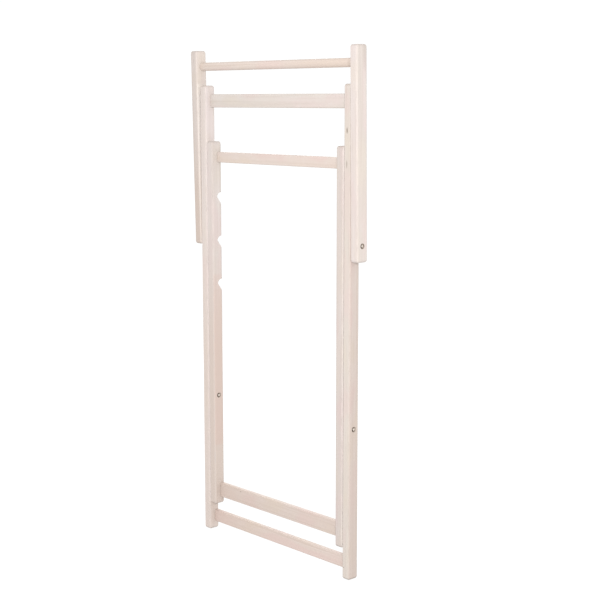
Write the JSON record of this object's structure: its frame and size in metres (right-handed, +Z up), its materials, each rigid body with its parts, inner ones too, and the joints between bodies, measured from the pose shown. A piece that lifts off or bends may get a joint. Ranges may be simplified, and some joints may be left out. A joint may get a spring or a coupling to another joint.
{
  "type": "folding deck chair frame",
  "caption": "Folding wooden deck chair frame without its sling: nested seat, back and prop frames on cross pins, with support notches and a prop rod.",
  "frame": {"origin": "on the floor under the middle of the folded frame", "axes": "+Z up along the folded stiles, X across the frame along both hinge lines, +Y toward the notched edges of the seat frame"},
  "size_m": [0.5786, 0.0392, 1.2002],
  "materials": {
    "back_wood": "pale washed, satin",
    "seat_wood": "pale washed, satin",
    "prop_wood": "pale washed, satin",
    "pin_steel": "dulled",
    "washer_steel": "dulled"
  },
  "bodies": {
    "back_frame": {"back_stile_left": "back_wood", "back_stile_right": "back_wood", "back_top_rail": "back_wood", "back_bottom_rail": "back_wood", "seat_pin_screw_left": "pin_steel", "seat_pin_screw_right": "pin_steel", "seat_pin_sleeve_left": "pin_steel", "seat_pin_sleeve_right": "pin_steel", "seat_pin_washer_left": "washer_steel", "seat_pin_washer_right": "washer_steel", "prop_pin_screw_left": "pin_steel", "prop_pin_screw_right": "pin_steel", "prop_pin_sleeve_left": "pin_steel", "prop_pin_sleeve_right": "pin_steel", "prop_pin_washer_left": "washer_steel", "prop_pin_washer_right": "washer_steel"},
    "seat_frame": {"seat_stile_left": "seat_wood", "seat_stile_right": "seat_wood", "seat_top_rail": "seat_wood", "seat_bottom_rail": "seat_wood"},
    "prop_frame": {"prop_stile_left": "prop_wood", "prop_stile_right": "prop_wood", "prop_rod": "prop_wood"}
  },
  "joints": [
    {"name": "seat_fold", "type": "hinge", "parent": "back_frame", "child": "seat_frame", "pos_m": [0, 0.0031, 0.351], "axis": [1, 0, 0], "range_deg": [0, 68.43]},
    {"name": "prop_swing", "type": "hinge", "parent": "back_frame", "child": "prop_frame", "pos_m": [0, 0.0031, 0.766], "axis": [1, 0, 0], "range_deg": [-0.9, 139]}
  ]
}
